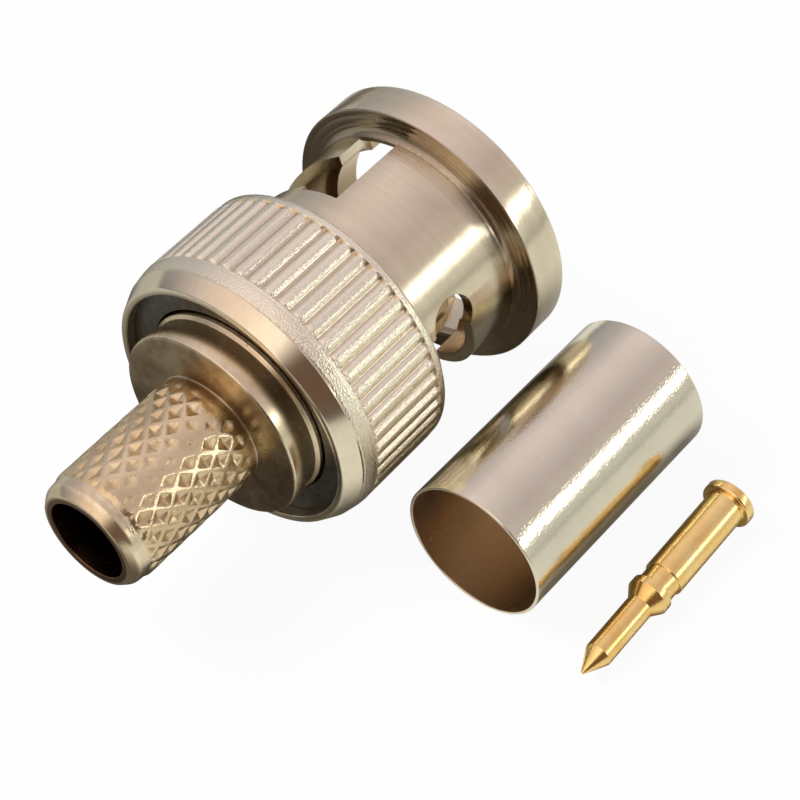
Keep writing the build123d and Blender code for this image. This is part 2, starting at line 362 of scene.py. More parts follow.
def press(piece, tree, values, finish):
    # the inputs are set by their identifiers, before the piece is first evaluated
    modifier = piece.modifiers.new(tree.name, "NODES")
    modifier.node_group = tree
    given = values | {"Finish": finish}
    for item in tree.interface.items_tree:
        if item.in_out == "INPUT" and item.name in given:
            modifier[item.identifier] = given[item.name]
    return applyModifiers(piece)


def startGroup(name, values):
    # a shader group whose inputs are the point's place and these values
    tree = bpy.data.node_groups.new(name, "ShaderNodeTree")
    groupSocket(tree, "Vector", "NodeSocketVector", "INPUT")
    for key, value in values.items():
        kind = "NodeSocketColor" if isinstance(value, tuple) else "NodeSocketFloat"
        groupSocket(tree, key, kind, "INPUT", value)
    make = TreeMaker(tree)
    return tree, make, make.node("NodeGroupInput").outputs


def endGroup(tree, make, results):
    for key, result in results.items():
        kind = "NodeSocketColor" if result.type == "RGBA" else "NodeSocketFloat"
        groupSocket(tree, key, kind, "OUTPUT")
    out = make.node("NodeGroupOutput")
    for key, result in results.items():
        make.feed(out.inputs[key], result)
    return tree


def fromAxis(make, vector):
    # a point's parts and its distance from the axis (local X)
    place = make.node("ShaderNodeSeparateXYZ", i0=vector).outputs
    return place, make.length(0.0, place[1], place[2])


def turningMarksGroup():
    # fine rings left by the lathe: one value for each distance along and from the axis
    tree, make, given = startGroup("turningMarks", {"Ring Scale": 14.0, "Drift": 0.6, "Broad Scale": 0.16})
    place, radius = fromAxis(make, given["Vector"])
    angle = make.math("ARCTAN2", place[2], place[1])
    along = make.times(place[0], given["Ring Scale"])
    outwards = make.times(radius, given["Ring Scale"])
    around = make.times(angle, given["Drift"])
    lookup = make.node("ShaderNodeCombineXYZ", i0=along, i1=outwards, i2=around).outputs[0]
    broad = make.noise(lookup, given["Broad Scale"], 2.0)
    return endGroup(tree, make, {
        "Height": make.noise(lookup, 1.0, 3.0, 0.65),
        "Streak": make.spread(broad, 0.35, 0.65, 0.0, 1.0),
    })


def platingToneGroup():
    # cloudy colour of thin plating, with a few dull specks
    tree, make, given = startGroup("platingTone", {
        "Light Tone": (0.8, 0.7, 0.55, 1), "Deep Tone": (0.6, 0.5, 0.4, 1), "Cloud Scale": 0.5,
        "Dull Tone": (0.45, 0.36, 0.28, 1), "Speck Scale": 5.0, "Speck Share": 0.1, "Speck Level": 0.74,
        "Speck Edge": 0.06, "Speck Strength": 0.7,
    })
    cloud = make.spread(make.noise(given["Vector"], given["Cloud Scale"], 4.0, 0.55), 0.3, 0.7, 0.0, 1.0)
    speckStart = make.minus(given["Speck Level"], given["Speck Share"])
    speckFull = make.plus(speckStart, given["Speck Edge"])
    speckNoise = make.noise(given["Vector"], given["Speck Scale"], 5.0, 0.7)
    speck = make.spread(speckNoise, speckStart, speckFull, 0.0, 1.0, smooth=True)
    base = make.mix(cloud, given["Light Tone"], given["Deep Tone"])
    dullShare = make.times(speck, given["Speck Strength"])
    color = make.mix(dullShare, base, given["Dull Tone"], "MULTIPLY")
    return endGroup(tree, make, {"Color": color, "Cloud": cloud, "Speck": speck})


def edgeWearGroup():
    # how far a corner has been rubbed bright, from the mesh's own edge mask broken up by noise
    tree, make, given = startGroup("edgeWear", {"Edge": 0.0, "Break Scale": 3.0, "Least": 0.3, "Amount": 0.7})
    noise = make.noise(given["Vector"], given["Break Scale"], 3.0)
    broken = make.spread(noise, 0.3, 0.6, given["Least"], 1.0)
    wear = make.math("MULTIPLY", make.times(given["Edge"], broken), given["Amount"], clamp=True)
    return endGroup(tree, make, {"Wear": wear})


def axisZonesGroup():
    # masks by place along the axis (local X) and by distance from it; Inside marks the bores and the
    # rear-face mask marks the rear faces where shade is painted
    tree, make, given = startGroup("axisZones", {
        "Grain From": -100.0, "Grain To": 100.0, "Marks From": -100.0, "Inner Radius": 0.0,
        "Patina From": 200.0, "Patina To": 201.0, "Patina Least": 1.0,
        "Fuzz": 0.12, "Fuzz Scale": 6.0, "Grain Fade": 0.08, "Marks Fade": 0.1, "Inner Fade": 0.12,
        "Rear Shade Fade": 0.35, "Patina Edge": 0.03, "Blotch Scale": 0.7,
    })
    place, radius = fromAxis(make, given["Vector"])
    jitter = make.spread(make.noise(given["Vector"], given["Fuzz Scale"], 2.0), 0.0, 1.0, -1.0, 1.0)
    station = make.scaled(jitter, given["Fuzz"], place[0])
    grainFull = make.plus(given["Grain From"], given["Grain Fade"])
    grainFade = make.minus(given["Grain To"], given["Grain Fade"])
    after = make.spread(station, given["Grain From"], grainFull, 0.0, 1.0)
    before = make.spread(station, grainFade, given["Grain To"], 1.0, 0.0)
    marksFull = make.plus(given["Marks From"], given["Marks Fade"])
    innerStart = make.minus(given["Inner Radius"], given["Inner Fade"])
    # painted shade on a rear face between the two stations, broken into blotches
    rearShadeFull = make.plus(given["Patina From"], given["Rear Shade Fade"])
    rearShadeEdgeStart = make.minus(given["Patina To"], given["Patina Edge"])
    onFace = make.spread(station, given["Patina From"], rearShadeFull, 0.0, 1.0, smooth=True)
    offFace = make.spread(place[0], rearShadeEdgeStart, given["Patina To"], 1.0, 0.0)
    blotch = make.noise(given["Vector"], given["Blotch Scale"], 4.0)
    patches = make.spread(blotch, 0.4, 0.6, given["Patina Least"], 1.0)
    return endGroup(tree, make, {
        "Grain": make.times(after, before),
        "Marks": make.spread(station, given["Marks From"], marksFull, 0.0, 1.0),
        # inside the given radius: where shade is painted in bores
        "Inside": make.spread(radius, innerStart, given["Inner Radius"], 1.0, 0.0),
        "Rear Shade": make.times(onFace, offFace, patches),
    })


turningMarks = turningMarksGroup()
axisZones = axisZonesGroup()
platingTone = platingToneGroup()
edgeWear = edgeWearGroup()


def placeGroup(make, tree, where, **inputs):
    made = make.node("ShaderNodeGroup", {"node_tree": tree}, Vector=where)
    for key, value in inputs.items():
        make.feed(made.inputs[key.replace("_", " ")], value)
    return made.outputs


def startMaterial(name, toLocal):
    # the Mapping node brings the row's frame to millimetres with X along the piece's own axis
    material = bpy.data.materials.new(name)
    material.use_nodes = True
    material.node_tree.nodes.clear()
    make = TreeMaker(material.node_tree)
    coords = make.node("ShaderNodeTexCoord")
    local = make.node("ShaderNodeMapping", Vector=coords.outputs["Object"], Scale=(1 / mm, 1 / mm, 1 / mm))
    make.feed(local.inputs["Rotation"], toLocal["rotation"])
    make.feed(local.inputs["Location"], toLocal["location"])
    return material, make, local.outputs[0]


def metalMaterial(name, settings, toLocal):
    s = nickelBase | settings
    material, make, where = startMaterial(name, toLocal)
    marks = placeGroup(make, turningMarks, where, Ring_Scale=s["ringScale"], Drift=s["drift"])
    zones = placeGroup(
        make, axisZones, where, Grain_From=s["grainFrom"], Grain_To=s["grainTo"], Marks_From=s["marksFrom"],
        Inner_Radius=s["innerRadius"], Patina_From=s["rearShadeFrom"], Patina_To=s["rearShadeTo"],
        Patina_Least=s["rearShadeLeast"],
    )
    tone = placeGroup(
        make, platingTone, where, Light_Tone=s["lightTone"], Deep_Tone=s["deepTone"],
        Cloud_Scale=s["cloudScale"], Speck_Scale=s["speckScale"], Speck_Share=s["speckShare"],
    )
    edge = make.node("ShaderNodeAttribute", {"attribute_name": "edge"}).outputs["Fac"]
    pressed = make.node("ShaderNodeAttribute", {"attribute_name": "pressed"}).outputs["Fac"]
    wear = placeGroup(make, edgeWear, where, Edge=edge, Amount=s["wear"])["Wear"]
    # grain stands on the zone's raised parts only
    raised = make.times(zones["Grain"], make.minus(1.0, pressed))
    streaky = make.times(marks["Streak"], zones["Marks"], s["streak"])
    color = make.mix(wear, tone["Color"], s["wearAndSheenTone"])
    color = make.mix(streaky, color, s["streakTone"], "MULTIPLY")
    # painted shade, with a tint, in the pressed grooves and pits
    color = make.mix(pressed, color, s["pressedShadeTone"], "MULTIPLY")
    # painted sheen: the grain zone's raised parts, such as the ribs' crests, take the lighter worn tone
    color = make.mix(make.times(raised, s["raisedSheenShare"]), color, s["wearAndSheenTone"])
    # painted shade: surfaces inside the given radius, such as bores and slot walls, are darkened
    color = make.mix(zones["Inside"], color, s["boreShadeTone"], "MULTIPLY")
    # painted shade, blotchy, on the rear faces
    color = make.mix(zones["Rear Shade"], color, s["rearShadeTone"], "MULTIPLY")
    rough = make.scaled(tone["Cloud"], s["roughCloud"], s["roughness"])
    for mask, more in (
        (tone["Speck"], s["speckRough"]), (wear, -s["wearPolish"] * s["roughness"]),
        (raised, s["grainRough"]), (pressed, s["pressedRough"]),
        (zones["Inside"], s["insideRough"]), (zones["Rear Shade"], s["rearShadeRough"]),
    ):
        rough = make.scaled(mask, more, rough)
    ringShare = make.scaled(zones["Marks"], 1.0 - s["faintMarks"], s["faintMarks"])
    ringHeight = make.times(marks["Height"], ringShare, s["ringDepth"])
    grainDepth = make.scaled(raised, s["grainDepth"] - s["leastGrain"], s["leastGrain"])
    insideGrain = make.scaled(zones["Inside"], s["insideGrain"] - 1.0, 1.0)
    grainDepth = make.times(grainDepth, insideGrain)
    height = make.scaled(make.noise(where, s["grainScale"], 2.0), grainDepth, ringHeight)
    bump = make.node("ShaderNodeBump", Strength=1.0, Distance=mm, Height=height).outputs[0]
    shader = make.node(
        "ShaderNodeBsdfPrincipled", Metallic=1.0, Base_Color=color, Roughness=rough, Normal=bump,
    )
    make.node("ShaderNodeOutputMaterial", Surface=shader.outputs[0])
    return material


def softMaterial(name, settings, toLocal):
    s = softBase | settings
    material, make, where = startMaterial(name, toLocal)
    marks = placeGroup(make, turningMarks, where, Ring_Scale=s["ringScale"], Drift=s["drift"])
    cloud = make.noise(where, s["cloudScale"], 3.0)
    color = make.mix(cloud, s["lightTone"], s["deepTone"])
    height = make.times(marks["Height"], s["ringDepth"])
    bump = make.node("ShaderNodeBump", Strength=1.0, Distance=mm, Height=height).outputs[0]
    rough = make.scaled(cloud, s["roughCloud"], s["roughness"])
    shader = make.node("ShaderNodeBsdfPrincipled", Base_Color=color, Roughness=rough, Normal=bump)
    make.feed(shader.inputs["Subsurface Weight"], s["subsurface"])
    make.feed(shader.inputs["Subsurface Scale"], s["subsurfaceScale"])
    make.node("ShaderNodeOutputMaterial", Surface=shader.outputs[0])
    return material


# what every metal finish starts from; stations and radii are millimetres along and from the piece's axis
nickelBase = {
    "lightTone": (0.82, 0.735, 0.55, 1), "deepTone": (0.73, 0.64, 0.47, 1), "cloudScale": 0.35,
    "speckScale": 4.0, "speckShare": 0.06, "speckRough": 0.25,
    "wear": 0.6, "wearAndSheenTone": (0.92, 0.86, 0.68, 1), "wearPolish": 0.4,
    "ringScale": 16.0, "ringDepth": 0.004, "drift": 0.35, "marksFrom": -100.0, "faintMarks": 0.15,
    "streak": 0.25, "streakTone": (0.80, 0.74, 0.68, 1),
    "grainFrom": -100.0, "grainTo": 100.0, "grainScale": 12.0, "grainDepth": 0.001, "leastGrain": 0.0005,
    # the pressed tone paints shade in grooves and pits, and the raised share paints a sheen on raised parts
    "grainRough": 0.0, "raisedSheenShare": 0.0, "pressedShadeTone": (1, 1, 1, 1), "pressedRough": 0.0,
    "roughness": 0.24, "roughCloud": 0.06,
    # painted shade in bores inside innerRadius, and on the rear faces between the given stations
    "innerRadius": 0.0, "boreShadeTone": (0.45, 0.36, 0.28, 1), "insideRough": 0.1, "insideGrain": 0.2,
    "rearShadeFrom": 200.0, "rearShadeTo": 201.0, "rearShadeLeast": 1.0, "rearShadeTone": (0.42, 0.37, 0.31, 1),
    "rearShadeRough": 0.16,
}
softBase = {"ringScale": 9.0, "drift": 0.8, "cloudScale": 1.2, "roughCloud": 0.1, "subsurfaceScale": 0.0006}


# a piece is made standing on Z in millimetres, with X to the loose pieces, and then laid along the row's X
lying = Matrix(((0, 0, 1), (-1, 0, 0), (0, -1, 0))).to_4x4()


def layDown(start, turn):
    # the piece's place, and the Mapping values that its finish needs
    back = turn.to_3x3().inverted()
    mapping = {"rotation": back.to_euler("XYZ"), "location": -(back @ (start / mm))}
    return Matrix.Translation(start) @ turn @ lying @ Matrix.Scale(mm, 4), mapping


# camera, from the view that was fitted to the photograph
viewSettings = {
    "target": (3.4633, 1.7756, 4.95), "back": (-0.4911, -0.4060, 0.7707), "distance": 110.975, "roll": -1.22,
    "lens": 108.153, "sensor": 36, "shiftX": -0.00084, "shiftY": -0.00101, "nearest": 0.001, "farthest": 20,
}
back = Vector(viewSettings["back"]).normalized()
level = (-back).cross(Vector((0, 0, 1))).normalized()
upward = level.cross(-back)
roll = math.radians(viewSettings["roll"])
rightward = math.cos(roll) * level + math.sin(roll) * upward
upright = -math.sin(roll) * level + math.cos(roll) * upward
lensData = bpy.data.cameras.new("photoView")
lensData.lens = viewSettings["lens"]
lensData.sensor_width = viewSettings["sensor"]
lensData.shift_x = viewSettings["shiftX"]
lensData.shift_y = viewSettings["shiftY"]
lensData.clip_start = viewSettings["nearest"]
lensData.clip_end = viewSettings["farthest"]
camera = newPiece("photoView", lensData)
eye = (Vector(viewSettings["target"]) + back * viewSettings["distance"]) * mm
camera.matrix_world = Matrix.Translation(eye) @ Matrix((rightward, upright, back)).transposed().to_4x4()
bpy.context.scene.camera = camera
print("camera placed")

# coupling nut; its stations, and those of all that sits in it, count from the ribbed ring's front face
nutSettings = {
    "segments": 728, "arcSteps": 4, "fineRows": 0.052, "plainRows": 0.4, "longRows": 0.7,
    "front": 8.9, "radius": 7.15, "neckLength": 6.85, "neckRadius": 5.85, "boreRadius": 4.9,
    "mouthRadius": 5.5, "flangeSteps": (6.8, 6.4, 6.1), "stepDepth": 0.012, "stepOuter": 0.05,
    "stepInner": 0.03,
    "ringEdge": 0.03, "bandFront": (-0.3, -0.38), "ribEnds": (-1.0, -4.2), "bandRear": (-4.92, -5.0),
    "rearEdge": 0.02, "ringRear": -5.15, "bevelBreak": (7.0, -5.8), "lipEnd": -6.65, "lipFace": -6.08,
    "lipRadius": 6.58, "lipBore": 6.25, "chamber": 6.45, "shoulder": -3.58,
    "relief": 5.3, "reliefRear": 0.6, "reliefDepth": 0.4,
    "fineRound": 0.05, "rimRound": 0.12, "flangeRound": 0.07, "neckRound": 0.35, "ringRound": 0.1,
    "rearRound": 0.4, "lipRound": 0.2, "lipBoreRound": 0.08,
    "ribs": {
        "Rib Count": 52.0, "Phase": 4.4 * 52 / 360, "Rear": -4.62, "Front": -0.66, "Crest": 0.12,
        "Depth": 0.17, "Grain Ends": 0.6, "Smooth Starts": 0.88, "Band Rear": -4.9, "Band Front": -0.36,
        "Rear Fade": 0.07, "Front Fade": 0.07, "Least Radius": 7.0,
    },
    "slots": {
        "width": 2.2, "angle": 70.8, "rear": 2.2, "throughEnd": 6.5, "inner": 4.0, "outer": 6.6,
        "grooveRadius": 5.65, "grooveSteps": 8, "deepInner": 3.5, "pastMouth": 0.5,
        "detentAngle": -15.8, "detentStation": 2.53, "detentRadius": 1.3, "detentSides": 64,
        "detentOuter": 6.8,
        "rampWidth": 2.35, "rampPitch": 7.3, "rampStation": 2.14, "rampSteps": 40,
    },
    "finish": {
        "ringDepth": 0.008, "roughness": 0.14, "marksFrom": -0.1, "grainFrom": -5.7, "grainTo": -0.05,
        # painted light: a sheen on the ribs' raised parts, pinkish shade in the grooves, and shade in the
        # bore, the slot walls and the flange's rear face
        "grainDepth": 0.036, "grainScale": 12.0, "grainRough": 0.06, "raisedSheenShare": 1.0,
        "pressedShadeTone": (0.90, 0.87, 0.92, 1), "pressedRough": 0.1,
        "innerRadius": 5.45, "boreShadeTone": (0.75, 0.66, 0.55, 1),
        "rearShadeFrom": 6.35, "rearShadeTo": 6.93, "rearShadeTone": (0.48, 0.44, 0.42, 1), "rearShadeRough": 0.04,
    },
}
nutLow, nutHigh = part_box("coupling_nut")
axisPoint = Vector((
    nutHigh.x - nutSettings["front"] * mm, (nutLow.y + nutHigh.y) / 2, (nutLow.z + nutHigh.z) / 2,
))
plugPlace, alongPlug = layDown(axisPoint, Matrix.Identity(4))


def nutOutline():
    s = nutSettings
    corners = [
        (s["mouthRadius"], s["front"], s["fineRound"]),
        (s["radius"], s["front"], s["rimRound"]),
        (s["radius"], s["neckLength"], s["flangeRound"]),
    ]
    for radius in s["flangeSteps"]:  # shallow steps that the tool left on the flange's rear face
        corners += [
            (radius + s["stepOuter"], s["neckLength"]),
            (radius, s["neckLength"] + s["stepDepth"]),
            (radius - s["stepInner"], s["neckLength"]),
        ]
    corners += [
        (s["neckRadius"], s["neckLength"], s["neckRound"]),
        (s["neckRadius"], 0, s["fineRound"]),
        (s["radius"] - s["ringEdge"], 0, s["ringRound"]),
        (s["radius"] - s["ringEdge"], s["bandFront"][0]),
        (s["radius"], s["bandFront"][1]),
        (s["radius"], s["ribEnds"][0]),
        (s["radius"], s["ribEnds"][1]),
        (s["radius"], s["bandRear"][0]),
        (s["radius"] - s["rearEdge"], s["bandRear"][1]),
        (s["radius"] - s["rearEdge"], s["ringRear"], s["rearRound"]),
        (*s["bevelBreak"], s["rimRound"]),
        (s["lipRadius"], s["lipEnd"], s["lipRound"]),
        (s["lipBore"], s["lipEnd"], s["lipBoreRound"]),
        (s["lipBore"], s["lipFace"]),
        (s["chamber"], s["lipFace"]),
        (s["chamber"], s["shoulder"]),
        (s["boreRadius"], s["shoulder"], s["fineRound"]),
        (s["boreRadius"], s["reliefRear"]),
        (s["relief"], s["reliefRear"] + s["reliefDepth"]),
        (s["relief"], s["neckLength"] - s["reliefDepth"]),
        (s["boreRadius"], s["neckLength"]),
        (s["boreRadius"], s["front"] - s["mouthRadius"] + s["boreRadius"]),
    ]
    # fine rows at the ribs' ends, coarse rows elsewhere
    return splitRuns(roundedOutline(corners, s["arcSteps"]), [
        (s["bandRear"][0], s["ribEnds"][1], s["fineRows"]),
        (s["ribEnds"][1], s["ribEnds"][0], s["plainRows"]),
        (s["ribEnds"][0], s["bandFront"][1], s["fineRows"]),
        (0, s["front"], s["longRows"]),
    ])


def radial(degrees):
    return Vector((math.cos(math.radians(degrees)), math.sin(math.radians(degrees)), 0))


def slotCutters(halfTurn):
    # one side's entry slot, its groove out to the mouth, the helical ramp and the round detent hole
    s = nutSettings["slots"]
    halfWidth = s["width"] / 2
    entryAngle, detentAngle = s["angle"] + halfTurn, s["detentAngle"] + halfTurn
    low, high = (s["inner"], -halfWidth, s["rear"]), (s["outer"], halfWidth, s["throughEnd"])
    entry = blockCutter("entry", low, high, entryAngle)
    turn = Matrix.Rotation(math.radians(entryAngle), 3, "Z")
    grooveSections = []
    for station in (s["rear"], nutSettings["front"] + s["pastMouth"]):
        section = [(s["deepInner"], -halfWidth, station), (s["deepInner"], halfWidth, station)]
        for step in range(s["grooveSteps"] + 1):
            across = halfWidth - 2 * halfWidth * step / s["grooveSteps"]
            section.append((math.sqrt(s["grooveRadius"] ** 2 - across ** 2), across, station))
        grooveSections.append([turn @ Vector(point) for point in section])
    rampSections = []
    sweep = entryAngle - detentAngle
    wallRadius = (nutSettings["boreRadius"] + nutSettings["neckRadius"]) / 2
    slope = math.atan(s["rampPitch"] / (fullTurn * wallRadius))
    half = s["rampWidth"] / 2 / math.cos(slope)
    for step in range(s["rampSteps"] + 1):
        share = step / s["rampSteps"]
        outward = radial(detentAngle + sweep * share)
        station = s["rampStation"] + s["rampPitch"] * sweep / 360 * share
        corners = ((s["inner"], -half), (s["outer"], -half), (s["outer"], half), (s["inner"], half))
        rampSections.append([outward * radius + Vector((0, 0, station + up)) for radius, up in corners])
    outward = radial(detentAngle)
    sideways = outward.cross(Vector((0, 0, 1)))
    circle = []
    for step in range(s["detentSides"]):
        angle = fullTurn * step / s["detentSides"]
        rise = s["detentStation"] + s["detentRadius"] * math.sin(angle)
        circle.append(sideways * s["detentRadius"] * math.cos(angle) + Vector((0, 0, rise)))
    reaches = (s["deepInner"], s["detentOuter"])
    detentSections = [[point + outward * reach for point in circle] for reach in reaches]
    lofts = {"groove": grooveSections, "ramp": rampSections, "detent": detentSections}
    return [entry] + [loftCutter(name, sections) for name, sections in lofts.items()]


nutFinish = metalMaterial("turnedNickel", nutSettings["finish"], alongPlug)
nut = turnedPiece("couplingNut", nutOutline(), nutSettings["segments"])
press(nut, straightKnurlTree(nutSettings["ribs"]), nutSettings["ribs"], nutFinish)
cutWith(nut, slotCutters(0) + slotCutters(180))
finishPiece(nut, plugPlace, nutFinish, "nut", ["coupling_nut"])
print("coupling nut:", len(nut.data.polygons), "faces")

# plug body with its knurled stem
bodySettings = {
    "segments": 432, "arcSteps": 5, "knurlRows": 0.065, "longRows": 1.0,
    "boreRadius": 2.05, "rear": -16.0, "rimRadius": 2.46, "bandStart": (2.76, -15.6), "stemRadius": 2.8,
    "knurlRear": -15.1, "collarRear": -7.98, "collarRadius": 4.95, "collarFront": -7.15,
    "grooveRadius": 4.78, "grooveRear": -7.05, "grooveFront": -6.37, "grooveLip": -6.25,
    "thrustRear": -4.58, "thrustRadius": 6.35, "thrustFront": -3.6, "seatRadius": 4.8, "seatFront": -1.7,
    "contactRadius": 4.05, "contactSeat": -3.2, "chamberRadius": 3.5, "chamberRear": -7.35,
    "fineRound": 0.05, "rimRound": 0.12, "bandRound": 0.5, "stemRound": 0.1, "grooveRound": 0.04,
    "diamonds": {
        "Count": 18.0, "Phase": 0.0, "Row": 0.6475, "Depth": 0.17, "Rise": 0.10,
        "Uneven Scale": 0.9, "Least Share": 0.6, "Full Ridge": 0.14, "Weak Ridge": 0.52,
        "Band Rear": -15.12, "Band Front": -7.95, "Rear Fade": 0.3, "Front Fade": 1.0, "Least Radius": 2.7,
        "Shallow Angle": math.radians(-62), "Shallow Core": math.radians(6.3),
        "Shallow Width": math.radians(14), "Shallow Loss": 0.6,
    },
    "finish": {
        "lightTone": (0.86, 0.71, 0.46, 1), "deepTone": (0.70, 0.55, 0.34, 1), "speckShare": 0.12,
        "ringDepth": 0.002, "roughness": 0.24, "grainFrom": -15.3, "grainTo": -8.0, "grainDepth": 0.010,
        # painted shade: a warm tint in the knurl's pits, a dark stem bore and blotchy shade on the collar's
        # rear face
        "grainScale": 9.0, "grainRough": -0.02, "pressedShadeTone": (1.0, 0.96, 0.85, 1), "pressedRough": 0.06,
        "innerRadius": 2.4, "boreShadeTone": (0.25, 0.16, 0.12, 1), "insideRough": 0.0,
        "rearShadeFrom": -8.6, "rearShadeTo": -7.9, "rearShadeLeast": 0.6, "rearShadeRough": 0.06,
    },
}


def bodyOutline():
    s = bodySettings
    corners = [
        (s["boreRadius"], s["rear"], s["fineRound"]),
        (s["rimRadius"], s["rear"], s["rimRound"]),
        (*s["bandStart"], s["bandRound"]),
        (s["stemRadius"], s["knurlRear"]),
        (s["stemRadius"], s["collarRear"], s["stemRound"]),
        (s["collarRadius"], s["collarRear"], s["rimRound"]),
        (s["collarRadius"], s["collarFront"], s["grooveRound"]),
        (s["grooveRadius"], s["grooveRear"], s["grooveRound"]),
        (s["grooveRadius"], s["grooveFront"], s["grooveRound"]),
        (s["collarRadius"], s["grooveLip"], s["grooveRound"]),
        (s["collarRadius"], s["thrustRear"]),
        (s["thrustRadius"], s["thrustRear"], s["fineRound"]),
        (s["thrustRadius"], s["thrustFront"], s["fineRound"]),
        (s["seatRadius"], s["thrustFront"]),
        (s["seatRadius"], s["seatFront"], s["fineRound"]),
        (s["contactRadius"], s["seatFront"]),
        (s["contactRadius"], s["contactSeat"]),
        (s["chamberRadius"], s["contactSeat"]),
        (s["chamberRadius"], s["chamberRear"]),
        (s["boreRadius"], s["chamberRear"]),
    ]
    return splitRuns(roundedOutline(corners, s["arcSteps"]), [
        (s["knurlRear"], s["collarRear"], s["knurlRows"]), (s["rear"], s["chamberRear"], s["longRows"]),
    ])


bodyFinish = metalMaterial("bodyNickel", bodySettings["finish"], alongPlug)
body = turnedPiece("plugBody", bodyOutline(), bodySettings["segments"])
press(body, diamondKnurlTree(bodySettings["diamonds"]), bodySettings["diamonds"], bodyFinish)
finishPiece(body, plugPlace, bodyFinish, "plug", ["plug_body"], sharpAngle=30)
print("plug body:", len(body.data.polygons), "faces")

# outer contact, a tube split into spring fingers
fingerSettings = {
    "segments": 240, "arcSteps": 5, "bore": 3.5, "radius": 4.05, "rear": -3.2, "front": 4.3,
    "outerRound": 0.25, "innerRound": 0.12, "count": 6, "gapWidth": 0.4, "gapRear": -0.6,
    "cutInner": 3.0, "cutOuter": 4.6, "cutFront": 5.0,
    # painted shade on the fingers' inner side, with the base tone for bores
    "finish": {"roughness": 0.18, "ringDepth": 0.002, "innerRadius": 3.8},
}


def fingerOutline():
    s = fingerSettings
    return roundedOutline([
        (s["bore"], s["rear"]), (s["radius"], s["rear"]),
        (s["radius"], s["front"], s["outerRound"]), (s["bore"], s["front"], s["innerRound"]),
    ], s["arcSteps"])


def gapCutters():
    s = fingerSettings
    low = (s["cutInner"], -s["gapWidth"] / 2, s["gapRear"])
    high = (s["cutOuter"], s["gapWidth"] / 2, s["cutFront"])
    return [blockCutter("gap", low, high, 360 * index / s["count"]) for index in range(s["count"])]


fingerFinish = metalMaterial("fingerNickel", fingerSettings["finish"], alongPlug)
fingers = turnedPiece("contactFingers", fingerOutline(), fingerSettings["segments"])
cutWith(fingers, gapCutters())
finishPiece(fingers, plugPlace, fingerFinish, "plug", ["outer_contact"])

# white insulator with its cup and the groove that holds the contact's bead
insulatorSettings = {
    "segments": 160, "arcSteps": 5, "bore": 1.0, "rear": -7.35, "tailRadius": 3.5, "tailFront": -2.6,
    "noseRadius": 3.4, "front": 3.7, "cupRadius": 2.45, "cupFloor": -0.95,
    "beadRadius": 1.06, "beadFront": -1.1, "beadRear": -1.52,
    "noseRound": 0.15, "floorRound": 0.06, "boreRound": 0.05,
    "finish": {
        "lightTone": (0.86, 0.86, 0.83, 1), "deepTone": (0.78, 0.78, 0.74, 1), "roughness": 0.42,
        "ringDepth": 0.003, "subsurface": 0.1,
    },
}


def insulatorOutline():
    s = insulatorSettings
    return roundedOutline([
        (s["bore"], s["rear"]), (s["tailRadius"], s["rear"]),
        (s["tailRadius"], s["tailFront"]), (s["noseRadius"], s["tailFront"]),
        (s["noseRadius"], s["front"], s["noseRound"]), (s["cupRadius"], s["front"], s["noseRound"]),
        (s["cupRadius"], s["cupFloor"], s["floorRound"]), (s["bore"], s["cupFloor"], s["boreRound"]),
        (s["bore"], s["beadFront"]), (s["beadRadius"], s["beadFront"]),
        (s["beadRadius"], s["beadRear"]), (s["bore"], s["beadRear"]),
    ], s["arcSteps"])


insulatorFinish = softMaterial("whiteDielectric", insulatorSettings["finish"], alongPlug)
insulator = turnedPiece("insulatorCup", insulatorOutline(), insulatorSettings["segments"])
finishPiece(insulator, plugPlace, insulatorFinish, "plug", ["insulator"])

# red ring that seals against the jack
gasketSettings = {
    "segments": 160, "arcSteps": 5, "bore": 4.13, "radius": 4.75, "rear": -1.7, "front": -1.1,
    "rearRound": 0.08, "frontRound": 0.2,
    "finish": {
        "lightTone": (0.42, 0.06, 0.035, 1), "deepTone": (0.32, 0.045, 0.03, 1), "roughness": 0.5,
        "ringDepth": 0.002, "subsurface": 0.05,
    },
}


def flatRingOutline(s):
    return roundedOutline([
        (s["bore"], s["rear"], s["rearRound"]), (s["radius"], s["rear"], s["rearRound"]),
        (s["radius"], s["front"], s["frontRound"]), (s["bore"], s["front"], s["frontRound"]),
    ], s["arcSteps"])


gasketFinish = softMaterial("redSilicone", gasketSettings["finish"], alongPlug)
gasket = turnedPiece("gasketRing", flatRingOutline(gasketSettings), gasketSettings["segments"])
finishPiece(gasket, plugPlace, gasketFinish, "plug", ["gasket"])

# the dark washer behind the nut's lip
washerSettings = {
    "segments": 200, "arcSteps": 5, "bore": 5.05, "radius": 6.35, "rear": -6.06, "front": -5.66,
    "rearRound": 0.05, "frontRound": 0.05,
    "finish": {
        "lightTone": (0.13, 0.125, 0.125, 1), "deepTone": (0.09, 0.085, 0.085, 1),
        "wearAndSheenTone": (0.4, 0.37, 0.32, 1), "roughness": 0.42,
    },
}
washerFinish = metalMaterial("dullWasher", washerSettings["finish"], alongPlug)
washer = turnedPiece("thrustWasher", flatRingOutline(washerSettings), washerSettings["segments"])
finishPiece(washer, plugPlace, washerFinish, "thrust_washer", ["flat_washer"])

# the wave washer that is squeezed when the nut is pushed forward
waveSettings = {
    "steps": 180, "count": 3, "thickness": 0.25, "height": 1.06, "rear": -5.64, "inner": 5.15, "outer": 6.3,
    "keep": 0.33,
    "finish": {"lightTone": (0.42, 0.40, 0.37, 1), "deepTone": (0.30, 0.28, 0.26, 1), "roughness": 0.3},
}


